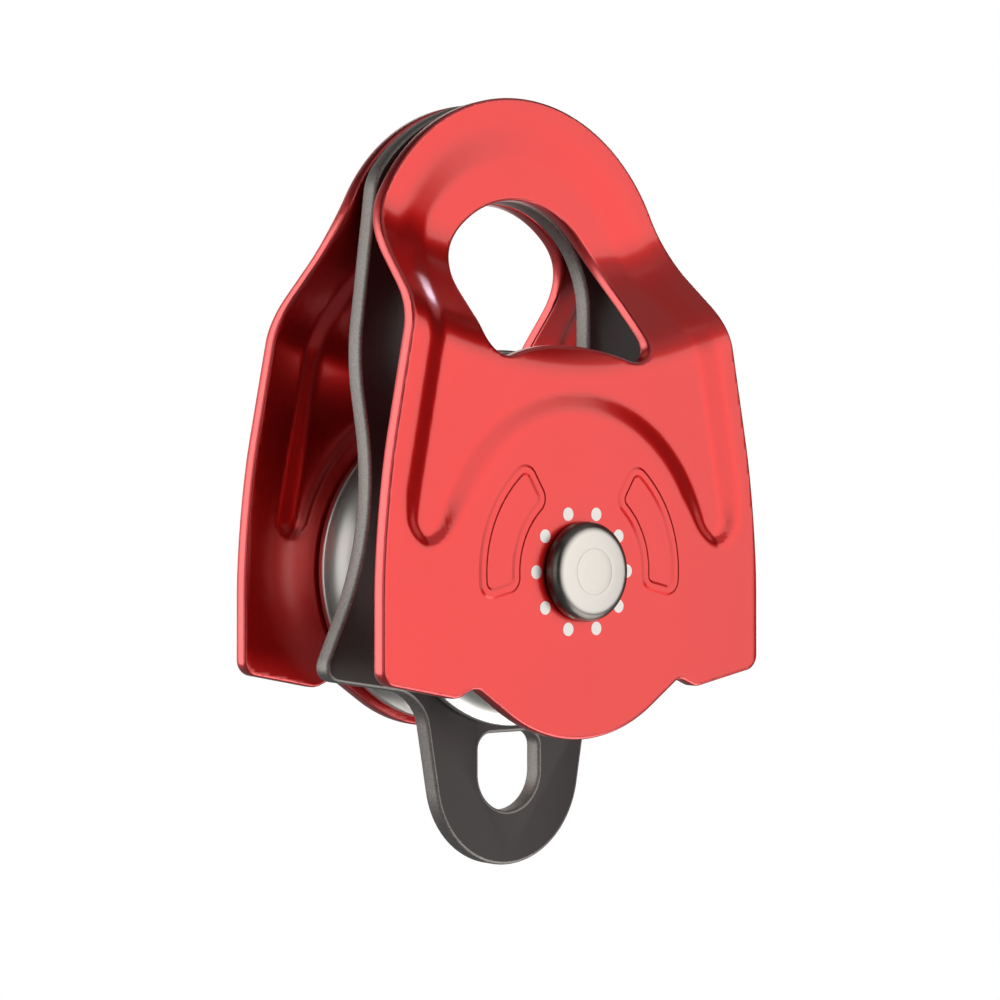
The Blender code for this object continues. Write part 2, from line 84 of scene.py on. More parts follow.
# Pressing of the side plates
PANEL_DEPTH = 0.0015
PANEL_RIM = 0.0033
PANEL_SLOPE = 0.0050
PANEL_DISC = 0.0281
PANEL_TIP = 0.0014
PANEL_TIP_RADIUS = 0.0080
PANEL_BROW = 0.34
INNER_START = 0.0042
INNER_SLOPE = 0.0036
HEAD_SPREAD = 1.8
HEAD_SPREAD_LOW = 0.045
HEAD_SPREAD_HIGH = 0.065
TIP_SPREAD = 0.50
TIP_SPREAD_LOW = 0.0058
TIP_SPREAD_HIGH = 0.0140
HEAD_BEND = PLATE_HIGH.y + PLATE_FACE - PLATE_THICKNESS - PANEL_DEPTH
BEND_START = 0.0343
BEND_LENGTH = 0.0290
BEND_FOOT = 0.32
BEND_BROW = 0.48
BEND_CURVE = 0.0930

# Marks on the side plates
DOT_COUNT = 10
DOT_RING = 0.0110
DOT_RADIUS = 0.00123
DOT_PROUD = 0.00003
RIB_INNER = 0.0147
RIB_OUTER = 0.0243
RIB_LOW = math.radians(-12.7)
RIB_HIGH = math.radians(58.3)
RIB_CORNER = 0.0030
RIB_SLOPE = 0.0005
RIB_TOP = 0.0010
RIB_HEIGHT = 0.0002

# Centre plate, measured from the axle
CENTRE_HEAD = 0.0506
CENTRE_HEAD_RADIUS = CENTRE_HIGH.z - AXLE_HEIGHT - CENTRE_HEAD
CENTRE_FACE = CENTRE_HIGH.y
TEMPLE_ANGLE = math.radians(34.5)
TEMPLE_RUN = math.radians(8)
TEMPLE_RADIUS = 0.0100
NECK_HEIGHT = 0.0386
NECK_RADIUS = 0.0400
WAIST_HALF_WIDTH = 0.0328
WAIST_HEIGHT = 0.0170
WAIST_RADIUS = 0.0600
WAIST_RISE = math.radians(9.1)
WAIST_FLARE = math.radians(24.7)
FOOT_DROP = 0.0192
FOOT_RADIUS = 0.0030
BECKET_DROP = 0.0381
BECKET_RADIUS = AXLE_HEIGHT - CENTRE_LOW.z - BECKET_DROP
BECKET_TAPER = math.radians(10)
BECKET_ROOT_DROP = 0.0228
BECKET_ROOT_RADIUS = 0.0080
SLOT_RADIUS = 0.0073
SLOT_TOP_DROP = 0.0306
SLOT_CORNER_RADIUS = 0.0030
CENTRE_BORE = 0.0063
CENTRE_EDGE_ROUND = 0.0006

# Sheaves, along and from the axle
SHEAVE_RADIUS = (SHEAVE_HIGH.z - SHEAVE_LOW.z) / 2
SHEAVE_HALF = (SHEAVE_HIGH.y - SHEAVE_LOW.y) / 2
SHEAVE_MIDDLE = (SHEAVE_HIGH.y + SHEAVE_LOW.y) / 2
GROOVE_DEPTH = 0.0047
FLANGE_LIP = 0.0016
FLANGE_ROUND = 0.0004
LIP_ROUND = 0.0012
RIM_WALL = 0.0026
WEB_HALF = 0.0047
WEB_FILLET = 0.0010
HUB_WALL = 0.0029
HUB_HALF = 0.0058
BEARING_SEAT = 0.0143

# Axle and its heads
AXLE_RADIUS = 0.0060
RIVET_RADIUS = 0.0042
HEAD_CLEARANCE = 0.0003
SHOULDER_PLACE = HEAD_LOW.y - HEAD_CLEARANCE
HEAD_OUTSIDE = (HEAD_HIGH.z - HEAD_LOW.z) / 2
HEAD_ROUND = 0.0019
HEAD_FOOT_ROUND = HEAD_ROUND / 5
DOME_RADIUS = 0.1200
SEAM_WIDTH = 0.00001
SEAM_ROUND = 0.00003

# Fineness
ARC_STEP = math.radians(2.5)
LEAST_STEPS = 3
PROFILE_STEP = math.radians(6)
GRID_STEP = 0.0008
SPIN_STEPS = 128
CORNER_SEGMENTS = 8
CORNER_REACH = 0.49
EDGE_SEGMENTS = 3
DOT_SEGMENTS = 32
SQUARE_ANGLE = math.radians(80)
PLATE_SHARP = math.radians(35)
RIB_SHARP = math.radians(15)
USUAL_SHARP = math.radians(50)
FLAT_LEAN = 0.5
TINY = 1e-7
WELD = 1e-6
SEAM_WELD = 1e-5
GRID_SNAP = 2e-5
GRAIN_DEPTH = 0.00002
GRAIN_DETAIL = 3.0
CLOUD_DETAIL = 2.0
RING_DETAIL = 4.0

# Studio: where the camera stands and looks, and its soft boxes
EYE = Vector((-0.29875, -PLATE_FACE - 0.34038, AXLE_HEIGHT + 0.00692))
SIGHT = Vector((0.6343, 0.7730, 0.0136))
LENS = 89.17
SENSOR_WIDTH = 36.0
LAMP_TINT = (1.0, 0.955, 0.90)
GLINT_TINT = (0.85, 0.80, 1.0)
# Each box's azimuth and rise in degrees, distance, width and height, glow and tint
SOFT_BOXES = {
    "front_box": (23, 8, 1.0, (1.20, 1.04), 1.38, LAMP_TINT),
    "front_upper_box": (20, 46, 1.0, (1.05, 0.44), 0.36, LAMP_TINT),
    "front_top_box": (30, 78, 1.0, (1.60, 0.80), 0.24, LAMP_TINT),
    "front_low_box": (42, -52, 0.5, (0.45, 0.34), 2.4, LAMP_TINT),
    "left_box": (-64, 8, 1.0, (0.70, 0.90), 0.8, LAMP_TINT),
    "right_glint": (120, 22, 1.0, (0.06, 0.12), 8.0, GLINT_TINT),
    "back_left_box": (-126, 5, 1.0, (1.06, 1.0), 1.9, LAMP_TINT),
    "back_box": (155, 10, 1.0, (1.3, 0.9), 0.8, LAMP_TINT),
}
ROOM_GLOW = 0.015
FLOOR_GLOW = 0.15
FLOOR_DROP = 0.45
FLOOR_HALF = 2.0


def line_to(bm, vert, x, z):
    """Draws a straight edge on and gives its far end."""
    made = bmesh.ops.extrude_vert_indiv(bm, verts=[vert])["verts"][0]
    made.co = (x, 0.0, z)
    return made


def arc_about(bm, vert, height, degrees, across=0.0):
    """Draws an arc on about a point at a height, clockwise as seen from the front."""
    angle = math.radians(degrees)
    steps = max(LEAST_STEPS, math.ceil(abs(angle) / ARC_STEP))
    made = bmesh.ops.spin(bm, geom=[vert], cent=(across, 0.0, height), axis=(0.0, 1.0, 0.0),
                          angle=angle, steps=steps)
    return next(item for item in made["geom_last"] if isinstance(item, bmesh.types.BMVert))


def draw_hole(bm, vert):
    """Right half of the carabiner hole, from its floor on the middle line up to its crown."""
    corner_x = HOLE_RADIUS - HOLE_CORNER_RADIUS
    corner_angle = math.acos(corner_x / (HOLE_FLOOR + HOLE_CORNER_RADIUS))
    turn = math.degrees(corner_angle)
    vert = line_to(bm, vert, 0.0, HOLE_FLOOR)
    vert = arc_about(bm, vert, 0.0, 90 - turn)
    vert = arc_about(bm, vert, corner_x * math.tan(corner_angle), turn - 180, corner_x)
    vert = line_to(bm, vert, HOLE_RADIUS, HOLE_CENTRE)
    return arc_about(bm, vert, HOLE_CENTRE, -90)


def round_corners(bm, corners):
    """Rounds the corners of a flat outline, each with its own radius."""
    for vert, radius in corners:
        arms = [edge.other_vert(vert).co - vert.co for edge in vert.link_edges]
        half = arms[0].angle(arms[1]) / 2
        reach = min(radius / math.tan(half), *(CORNER_REACH * arm.length for arm in arms))
        bmesh.ops.bevel(bm, geom=[vert], offset=reach, offset_type="OFFSET", affect="VERTICES",
                        segments=CORNER_SEGMENTS, profile=0.5, material=-1)


def close_outline(bm, first, last, corners):
    """Closes a drawn half outline, fills it and rounds its corners."""
    bmesh.ops.pointmerge(bm, verts=[first, last], merge_co=first.co)
    bmesh.ops.contextual_create(bm, geom=bm.edges[:])
    round_corners(bm, corners)


def thicken(bm, thickness, edge_round):
    """Makes a filled half outline a flat plate from y = 0 inwards, open at the middle line."""
    bmesh.ops.recalc_face_normals(bm, faces=bm.faces[:])
    front = bm.faces[:]
    back = bmesh.ops.extrude_face_region(bm, geom=front, use_keep_orig=True)["geom"]
    moved = [item for item in back if isinstance(item, bmesh.types.BMVert)]
    bmesh.ops.translate(bm, verts=moved, vec=(0.0, thickness, 0.0))
    seam = [face for face in bm.faces if all(abs(vert.co.x) < TINY for vert in face.verts)]
    bmesh.ops.delete(bm, geom=seam, context="FACES_ONLY")
    loose = [edge for edge in bm.edges if not edge.link_faces]
    bmesh.ops.delete(bm, geom=loose, context="EDGES")
    bmesh.ops.recalc_face_normals(bm, faces=bm.faces[:])
    for face in bm.faces:
        face.material_index = 0 if abs(face.normal.y) > FLAT_LEAN else 1
    rims = [edge for edge in bm.edges
            if len(edge.link_faces) == 2 and edge.calc_face_angle() > SQUARE_ANGLE
            and abs(edge.verts[0].co.y - edge.verts[1].co.y) < TINY]
    bmesh.ops.bevel(bm, geom=rims, offset=edge_round, offset_type="OFFSET", affect="EDGES",
                    segments=EDGE_SEGMENTS, profile=0.5, material=1, clamp_overlap=False)


def mirror_half(bm):
    """Adds the left half."""
    bmesh.ops.mirror(bm, geom=bm.verts[:] + bm.edges[:] + bm.faces[:], merge_dist=SEAM_WELD, axis="X")
    bmesh.ops.recalc_face_normals(bm, faces=bm.faces[:])


def cut_grid(bm, axis, low, high):
    """Cuts a flat plate into narrow bands across an axis, so that it can be pressed."""
    normal = Vector((0.0, 0.0, 0.0))
    normal[axis] = 1.0
    count = round((high - low) / GRID_STEP)
    for index in range(count + 1):
        place = normal * (low + (high - low) * index / count)
        bmesh.ops.bisect_plane(bm, geom=bm.verts[:] + bm.edges[:] + bm.faces[:], dist=GRID_SNAP,
                               plane_co=place, plane_no=normal)


def edge_distance(x, z):
    """How far a point of the side plate lies inside its upper outline."""
    from_head = Vector((abs(x), z - HEAD_CENTRE))
    if math.atan2(from_head.y, from_head.x) > SIDE_TAPER:
        return HEAD_RADIUS - from_head.length
    across = Vector((math.cos(SIDE_TAPER), math.sin(SIDE_TAPER)))
    return min(HALF_WIDTH - abs(x), HEAD_RADIUS - from_head.dot(across))


def inside_tip(beside, above):
    """Distance inside a leg of the panel, from one side and the tip, with a round corner between."""
    beside = max(PANEL_TIP_RADIUS - beside, 0.0)
    above = max(PANEL_TIP_RADIUS - above, 0.0)
    return PANEL_TIP_RADIUS - math.hypot(beside, above)


def ramp(value, low, high):
    """How far a value has come from a low to a high one, from 0 to 1."""
    return min(max((value - low) / (high - low), 0.0), 1.0)


def panel_share(run, spread, inside):
    """Share of the panel's depth after a run in from its outline: a round brow and a straight slope to a
    sharp foot outside, and a sharp foot and a round brow inside."""
    if inside:
        along = ramp(run, INNER_START, INNER_START + INNER_SLOPE)
        return along * (2 - along)
    brow_start = PANEL_SLOPE * max(1 - spread, 0.0)
    along = ramp(run, brow_start, brow_start + PANEL_SLOPE * spread)
    if along < PANEL_BROW:
        return along * along / PANEL_BROW / (2 - PANEL_BROW)
    return (2 * along - PANEL_BROW) / (2 - PANEL_BROW)


def slope_spread(z):
    """How wide the panel's slope is beside its usual width: narrow at the tips, wide in the head."""
    at_tips = TIP_SPREAD + (1 - TIP_SPREAD) * ramp(z, TIP_SPREAD_LOW, TIP_SPREAD_HIGH)
    return at_tips + (HEAD_SPREAD - 1) * ramp(z, HEAD_SPREAD_LOW, HEAD_SPREAD_HIGH)


def bend_share(along):
    """Share of the head's bend: its slope grows at the foot, stays, and fades more slowly at the brow."""
    steep = 1 / (1 - (BEND_FOOT + BEND_BROW) / 2)
    if along < BEND_FOOT:
        return steep * along * along / (2 * BEND_FOOT)
    if along > 1 - BEND_BROW:
        return 1 - steep * (1 - along) ** 2 / (2 * BEND_BROW)
    return steep * (along - BEND_FOOT / 2)


def sink(x, z, inside):
    """How far a face is pressed in: the bent head and the sunken M-shaped panel."""
    to_rim = inside_tip(edge_distance(x, z) - PANEL_RIM, z - PANEL_TIP)
    to_disc = inside_tip(math.hypot(x, z) - PANEL_DISC, z - PANEL_TIP)
    panel = panel_share(min(to_rim, to_disc), slope_spread(z), inside)
    bend = ramp(z - x * x / (2 * BEND_CURVE), BEND_START, BEND_START + BEND_LENGTH)
    return PANEL_DEPTH * panel + HEAD_BEND * bend_share(bend)


def press(bm):
    """Presses a flat plate into shape."""
    for vert in bm.verts:
        x, depth, z = vert.co
        vert.co.y += sink(x, z, depth > PLATE_THICKNESS / 2)


def finish_mesh(bm, name, materials, sharp=USUAL_SHARP):
    """A piece at the origin from a bmesh, shaded smooth but for its sharp edges."""
    mesh = bpy.data.meshes.new(name)
    bm.to_mesh(mesh)
    bm.free()
    mesh.shade_smooth()
    mesh.set_sharp_from_angle(angle=sharp)
    for material in materials:
        mesh.materials.append(material)
    piece = bpy.data.objects.new(name, mesh)
    bpy.context.scene.collection.objects.link(piece)
    return piece


def front_and_rear(front):
    """A front mesh and its copy turned half round the upright line, with the names of their ends."""
    rear = front.copy()
    bmesh.ops.rotate(rear, verts=rear.verts[:], matrix=Matrix.Rotation(math.pi, 3, "Z"))
    return ("front", front), ("rear", rear)


def flat_side_plate():
    """The side plate before it is pressed, with its outer face at y = 0 and the axle at z = 0."""
    notch = Vector((math.cos(NOTCH_ANGLE), math.sin(NOTCH_ANGLE)))
    notch *= BULGE_RADIUS + NOTCH_STANDOFF
    bulge_angle = NOTCH_ANGLE - math.acos(BULGE_RADIUS / notch.length)
    touch = Vector((math.cos(SIDE_TAPER), math.sin(SIDE_TAPER))) * HEAD_RADIUS
    shoulder_height = HEAD_CENTRE + touch.y - (HALF_WIDTH - touch.x) / math.tan(SIDE_TAPER)
    bm = bmesh.new()
    top = bm.verts.new((0.0, 0.0, HEAD_CENTRE + HEAD_RADIUS))
    vert = arc_about(bm, top, HEAD_CENTRE, 90 - math.degrees(SIDE_TAPER))
    shoulder = line_to(bm, vert, HALF_WIDTH, shoulder_height)
    corner = line_to(bm, shoulder, HALF_WIDTH, -CORNER_DROP)
    lobe = line_to(bm, corner, notch.x + LOBE_WIDTH, -LOBE_DROP)
    inlet = line_to(bm, lobe, notch.x, notch.y)
    vert = line_to(bm, inlet, BULGE_RADIUS * math.cos(bulge_angle), BULGE_RADIUS * math.sin(bulge_angle))
    vert = arc_about(bm, vert, 0.0, 90 + math.degrees(bulge_angle))
    vert = line_to(bm, vert, 0.0, -PLATE_BORE)
    vert = arc_about(bm, vert, 0.0, -180)
    crown = draw_hole(bm, vert)
    last = line_to(bm, crown, 0.0, HEAD_CENTRE + HEAD_RADIUS)
    close_outline(bm, top, last, [
        (shoulder, SHOULDER_RADIUS), (corner, CORNER_RADIUS), (lobe, LOBE_RADIUS), (inlet, NOTCH_RADIUS)])
    thicken(bm, PLATE_THICKNESS, PLATE_EDGE_ROUND)
    mirror_half(bm)
    return bm


def rib_corner(bm, vert, radius, angle, sweep):
    """Rounds one corner of a rib's outline about a point at a distance from the axle."""
    return arc_about(bm, vert, radius * math.sin(angle), math.degrees(sweep), radius * math.cos(angle))


def banana_outline(bm):
    """The foot of a rib round a banana shape to the right of the axle, filled."""
    out = RIB_OUTER - RIB_CORNER
    inn = RIB_INNER + RIB_CORNER
    out_lean = math.asin(RIB_CORNER / out)
    inn_lean = math.asin(RIB_CORNER / inn)
    sweep = RIB_HIGH - RIB_LOW
    quarter = math.pi / 2
    end_run = Vector((math.cos(RIB_LOW), math.sin(RIB_LOW))) * inn * math.cos(inn_lean)
    top_run = Vector((math.cos(RIB_HIGH), math.sin(RIB_HIGH))) * out * math.cos(out_lean)
    start = RIB_HIGH - out_lean
    first = bm.verts.new((RIB_OUTER * math.cos(start), 0.0, RIB_OUTER * math.sin(start)))
    vert = arc_about(bm, first, 0.0, math.degrees(sweep - 2 * out_lean))
    vert = rib_corner(bm, vert, out, RIB_LOW + out_lean, quarter + out_lean)
    vert = line_to(bm, vert, end_run.x, end_run.y)
    vert = rib_corner(bm, vert, inn, RIB_LOW + inn_lean, quarter - inn_lean)
    vert = arc_about(bm, vert, 0.0, -math.degrees(sweep - 2 * inn_lean))
    vert = rib_corner(bm, vert, inn, RIB_HIGH - inn_lean, quarter - inn_lean)
    vert = line_to(bm, vert, top_run.x, top_run.y)
    last = rib_corner(bm, vert, out, RIB_HIGH - out_lean, quarter + out_lean)
    close_outline(bm, first, last, [])


def banana_ribs(material):
    """A low flat rib round a banana shape on each side of each axle head, raised from the side plates."""
    bm = bmesh.new()
    banana_outline(bm)
    middle = bm.faces[:]
    bands = []
    for width in (RIB_SLOPE, RIB_TOP, RIB_SLOPE):
        made = bmesh.ops.inset_region(bm, faces=middle, thickness=width, use_boundary=True,
                                      use_even_offset=True)
        bands.append(made["faces"])
    top = list({vert for face in bands[1] for vert in face.verts})
    bmesh.ops.delete(bm, geom=middle, context="FACES")
    back = bmesh.ops.extrude_face_region(bm, geom=bm.faces[:], use_keep_orig=True)["geom"]
    sunk = [item for item in back if isinstance(item, bmesh.types.BMVert)]
    bmesh.ops.translate(bm, verts=sunk, vec=(0.0, RIB_HEIGHT, 0.0))
    bmesh.ops.translate(bm, verts=top, vec=(0.0, -RIB_HEIGHT, 0.0))
    bmesh.ops.mirror(bm, geom=bm.verts[:] + bm.edges[:] + bm.faces[:], merge_dist=WELD, axis="X")
    bmesh.ops.recalc_face_normals(bm, faces=bm.faces[:])
    bmesh.ops.translate(bm, verts=bm.verts[:], vec=(0.0, -PLATE_FACE, AXLE_HEIGHT))
    for end, half in front_and_rear(bm):
        piece = finish_mesh(half, f"{end}_banana_ribs", [material], RIB_SHARP)
        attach(piece, f"{end}_plate")


def side_plates(face, cut_edge):
    """Both pressed side plates: the rear one is the front one turned round."""
    bm = flat_side_plate()
    cut_grid(bm, 0, -HALF_WIDTH + PANEL_RIM / 2, HALF_WIDTH - PANEL_RIM / 2)
    cut_grid(bm, 2, PANEL_RIM / 2 - BULGE_RADIUS, HEAD_CENTRE + HEAD_RADIUS - PANEL_RIM / 2)
    press(bm)
    bmesh.ops.translate(bm, verts=bm.verts[:], vec=(0.0, -PLATE_FACE, AXLE_HEIGHT))
    for end, half in front_and_rear(bm):
        piece = finish_mesh(half, f"{end}_pressed_plate", [face, cut_edge], PLATE_SHARP)
        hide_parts(f"{end}_side_plate")
        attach(piece, f"{end}_plate")


def dot_rings(material):
    """A ring of pale dots round each axle head, marked on the side plates."""
    for end, side in (("front", FRONT), ("rear", REAR)):
        bm = bmesh.new()
        for index in range(DOT_COUNT):
            angle = 2 * math.pi * (index + 0.5) / DOT_COUNT
            place = Vector((DOT_RING * math.sin(angle), 0.0, DOT_RING * math.cos(angle)))
            lie = Matrix.Translation(place) @ Matrix.Rotation(math.pi / 2, 4, "X")
            bmesh.ops.create_cone(bm, cap_ends=True, segments=DOT_SEGMENTS, radius1=DOT_RADIUS,
                                  radius2=DOT_RADIUS, depth=2 * DOT_PROUD, matrix=lie)
        bmesh.ops.translate(bm, verts=bm.verts[:], vec=(0.0, side * PLATE_FACE, AXLE_HEIGHT))
        piece = finish_mesh(bm, f"{end}_dot_ring", [material])
        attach(piece, f"{end}_plate")


def centre_plate(face, cut_edge):
    """The flat middle plate with its carabiner hole, waist, becket and slot."""
    touch = Vector((math.cos(BECKET_TAPER), -math.sin(BECKET_TAPER))) * BECKET_RADIUS
    touch.y -= BECKET_DROP
    root_x = touch.x - (BECKET_ROOT_DROP + touch.y) * math.tan(BECKET_TAPER)
    temple_turn = 90 - math.degrees(TEMPLE_ANGLE + TEMPLE_RUN)
    temple_at = Vector((math.cos(TEMPLE_ANGLE), math.sin(TEMPLE_ANGLE))) * CENTRE_HEAD_RADIUS
    waist_at = WAIST_HALF_WIDTH + WAIST_RADIUS
    waist_top = Vector((waist_at - WAIST_RADIUS * math.cos(WAIST_RISE),
                        WAIST_HEIGHT + WAIST_RADIUS * math.sin(WAIST_RISE)))
    neck_x = waist_top.x + (NECK_HEIGHT - waist_top.y) * math.tan(WAIST_RISE)
    bm = bmesh.new()
    top = bm.verts.new((0.0, 0.0, CENTRE_HEAD + CENTRE_HEAD_RADIUS))
    vert = arc_about(bm, top, CENTRE_HEAD, temple_turn)
    temple = line_to(bm, vert, temple_at.x, CENTRE_HEAD + temple_at.y)
    neck = line_to(bm, temple, neck_x, NECK_HEIGHT)
    vert = line_to(bm, neck, waist_top.x, waist_top.y)
    vert = arc_about(bm, vert, WAIST_HEIGHT, -math.degrees(WAIST_RISE + WAIST_FLARE), waist_at)
    foot = line_to(bm, vert, vert.co.x + (FOOT_DROP + vert.co.z) * math.tan(WAIST_FLARE), -FOOT_DROP)
    root = line_to(bm, foot, root_x, -BECKET_ROOT_DROP)
    vert = line_to(bm, root, touch.x, touch.y)
    vert = arc_about(bm, vert, -BECKET_DROP, 90 - math.degrees(BECKET_TAPER))
    vert = line_to(bm, vert, 0.0, -BECKET_DROP - SLOT_RADIUS)
    vert = arc_about(bm, vert, -BECKET_DROP, -90)
    slot_corner = line_to(bm, vert, SLOT_RADIUS, -SLOT_TOP_DROP)
    vert = line_to(bm, slot_corner, 0.0, -SLOT_TOP_DROP)
    vert = line_to(bm, vert, 0.0, -CENTRE_BORE)
    vert = arc_about(bm, vert, 0.0, -180)
    crown = draw_hole(bm, vert)
    last = line_to(bm, crown, 0.0, CENTRE_HEAD + CENTRE_HEAD_RADIUS)
    close_outline(bm, top, last, [
        (temple, TEMPLE_RADIUS), (neck, NECK_RADIUS), (foot, FOOT_RADIUS), (root, BECKET_ROOT_RADIUS),
        (slot_corner, SLOT_CORNER_RADIUS)])
    thicken(bm, 2 * CENTRE_FACE, CENTRE_EDGE_ROUND)
    mirror_half(bm)
    bmesh.ops.translate(bm, verts=bm.verts[:], vec=(0.0, -CENTRE_FACE, AXLE_HEIGHT))
    piece = finish_mesh(bm, "becket_plate", [face, cut_edge])
    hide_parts("centre_plate")
    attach(piece, "centre")


def profile_to(bm, vert, radius, along):
    """Draws a turned profile on to a distance from the axle line and a place along it."""
    made = bmesh.ops.extrude_vert_indiv(bm, verts=[vert])["verts"][0]
    made.co = (radius, along, AXLE_HEIGHT)
    return made


def profile_arc(bm, vert, radius, along, degrees):
    """Draws a turned profile on by an arc about a point beside the axle line."""
    angle = math.radians(degrees)
    steps = max(LEAST_STEPS, math.ceil(abs(angle) / PROFILE_STEP))
    made = bmesh.ops.spin(bm, geom=[vert], cent=(radius, along, AXLE_HEIGHT), axis=(0.0, 0.0, 1.0),
                          angle=angle, steps=steps)
    return next(item for item in made["geom_last"] if isinstance(item, bmesh.types.BMVert))


def turn_profile(bm, side):
    """Turns a drawn profile once round the axle line, with its outer end on the given side."""
    bmesh.ops.delete(bm, geom=bm.faces[:], context="FACES_ONLY")
    bmesh.ops.spin(bm, geom=bm.verts[:] + bm.edges[:], cent=(0.0, 0.0, AXLE_HEIGHT),
                   axis=(0.0, 1.0, 0.0), angle=2 * math.pi, steps=SPIN_STEPS, use_merge=True)
    bmesh.ops.scale(bm, verts=bm.verts[:], vec=(1.0, side, 1.0))
    bmesh.ops.remove_doubles(bm, verts=bm.verts[:], dist=WELD)
    bmesh.ops.recalc_face_normals(bm, faces=bm.faces[:])


def sheave(end, side, material):
    """A grooved wheel with sunken web and a bored hub, its edges rounded."""
    groove_half = SHEAVE_HALF - FLANGE_LIP
    groove_radius = (groove_half ** 2 + GROOVE_DEPTH ** 2) / (2 * GROOVE_DEPTH)
    groove_centre = SHEAVE_RADIUS - GROOVE_DEPTH + groove_radius
    spread = 2 * math.degrees(math.asin(groove_half / groove_radius))
    rim = SHEAVE_RADIUS - GROOVE_DEPTH - RIM_WALL
    hub = BEARING_SEAT + HUB_WALL
    bm = bmesh.new()
    lip_out = bm.verts.new((SHEAVE_RADIUS, SHEAVE_MIDDLE + groove_half, AXLE_HEIGHT))
    lip_in = profile_arc(bm, lip_out, groove_centre, SHEAVE_MIDDLE, spread)
    corners = [(lip_out, LIP_ROUND), (lip_in, LIP_ROUND)]
    vert = lip_in
    for radius, across, fillet in (
            (SHEAVE_RADIUS, -SHEAVE_HALF, FLANGE_ROUND), (rim, -SHEAVE_HALF, FLANGE_ROUND),
            (rim, -WEB_HALF, WEB_FILLET), (hub, -WEB_HALF, WEB_FILLET), (hub, -HUB_HALF, FLANGE_ROUND),
            (BEARING_SEAT, -HUB_HALF, FLANGE_ROUND), (BEARING_SEAT, HUB_HALF, FLANGE_ROUND),
            (hub, HUB_HALF, FLANGE_ROUND), (hub, WEB_HALF, WEB_FILLET), (rim, WEB_HALF, WEB_FILLET),
            (rim, SHEAVE_HALF, FLANGE_ROUND), (SHEAVE_RADIUS, SHEAVE_HALF, FLANGE_ROUND)):
        vert = profile_to(bm, vert, radius, SHEAVE_MIDDLE + across)
        corners.append((vert, fillet))
    last = profile_to(bm, vert, SHEAVE_RADIUS, SHEAVE_MIDDLE + groove_half)
    close_outline(bm, lip_out, last, corners)
    turn_profile(bm, side)
    piece = finish_mesh(bm, f"{end}_grooved_wheel", [material])
    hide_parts(f"{end}_sheave")
    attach(piece, f"{end}_wheel")


def axle_head(end, side, material):
    """The low domed button on the end of the axle, with a round shoulder and a fine seam at the rivet."""
    dome = HEAD_HIGH.y - DOME_RADIUS
    bore = RIVET_RADIUS + SEAM_WIDTH
    shoulder = HEAD_OUTSIDE - HEAD_ROUND
    seam_lean = math.asin(bore / DOME_RADIUS)
    lean = math.asin(shoulder / (DOME_RADIUS - HEAD_ROUND))
    shoulder_place = dome + (DOME_RADIUS - HEAD_ROUND) * math.cos(lean)
    bm = bmesh.new()
    seam = bm.verts.new((bore, dome + DOME_RADIUS * math.cos(seam_lean), AXLE_HEIGHT))
    vert = profile_arc(bm, seam, 0.0, dome, math.degrees(seam_lean - lean))
    vert = profile_arc(bm, vert, shoulder, shoulder_place, math.degrees(lean) - 90)
    rim = profile_to(bm, vert, HEAD_OUTSIDE, HEAD_LOW.y)
    vert = profile_to(bm, rim, bore, HEAD_LOW.y)
    last = profile_to(bm, vert, bore, seam.co.y)
    close_outline(bm, seam, last, [(seam, SEAM_ROUND), (rim, HEAD_FOOT_ROUND)])
    turn_profile(bm, side)
    piece = finish_mesh(bm, f"{end}_button_head", [material])
    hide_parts(f"{end}_axle_head")
    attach(piece, "centre")


def axle(material):
    """The axle with its two domed rivet ends."""
    lean = math.asin(RIVET_RADIUS / DOME_RADIUS)
    bm = bmesh.new()
    first = bm.verts.new((0.0, AXLE_END, AXLE_HEIGHT))
    rivet_out = profile_arc(bm, first, 0.0, AXLE_END - DOME_RADIUS, -math.degrees(lean))
    rivet_end = rivet_out.co.y
    vert = profile_to(bm, rivet_out, RIVET_RADIUS, SHOULDER_PLACE)
    vert = profile_to(bm, vert, AXLE_RADIUS, SHOULDER_PLACE)
    vert = profile_to(bm, vert, AXLE_RADIUS, -SHOULDER_PLACE)
    vert = profile_to(bm, vert, RIVET_RADIUS, -SHOULDER_PLACE)
    rivet_in = profile_to(bm, vert, RIVET_RADIUS, -rivet_end)
    vert = profile_arc(bm, rivet_in, 0.0, DOME_RADIUS - AXLE_END, -math.degrees(lean))
    last = profile_to(bm, vert, 0.0, AXLE_END)
    close_outline(bm, first, last, [(rivet_out, SEAM_ROUND), (rivet_in, SEAM_ROUND)])
    turn_profile(bm, REAR)
    inside = [face for face in bm.faces
              if all(math.hypot(vert.co.x, vert.co.z - AXLE_HEIGHT) < WELD for vert in face.verts)]
    bmesh.ops.delete(bm, geom=inside, context="FACES")
    piece = finish_mesh(bm, "axle_pin", [material])
    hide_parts("axle")
    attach(piece, "centre")


def new_group(name, inputs, outputs):
    """A shader node group with float inputs and with named outputs."""
    group = bpy.data.node_groups.new(name, "ShaderNodeTree")
    for label, value in inputs.items():
        socket = group.interface.new_socket(label, in_out="INPUT", socket_type="NodeSocketFloat")
        socket.default_value = value
    for label, kind in outputs.items():
        group.interface.new_socket(label, in_out="OUTPUT", socket_type=kind)
    return group, group.nodes.new("NodeGroupInput"), group.nodes.new("NodeGroupOutput")


def noise(tree, vector, scale, detail):
    """A noise texture on given coordinates, whose scale may be a socket."""
    node = tree.nodes.new("ShaderNodeTexNoise")
    node.inputs["Detail"].default_value = detail
    tree.links.new(vector, node.inputs["Vector"])
    if isinstance(scale, (int, float)):
        node.inputs["Scale"].default_value = scale
    else:
        tree.links.new(scale, node.inputs["Scale"])
    return node.outputs["Fac"]


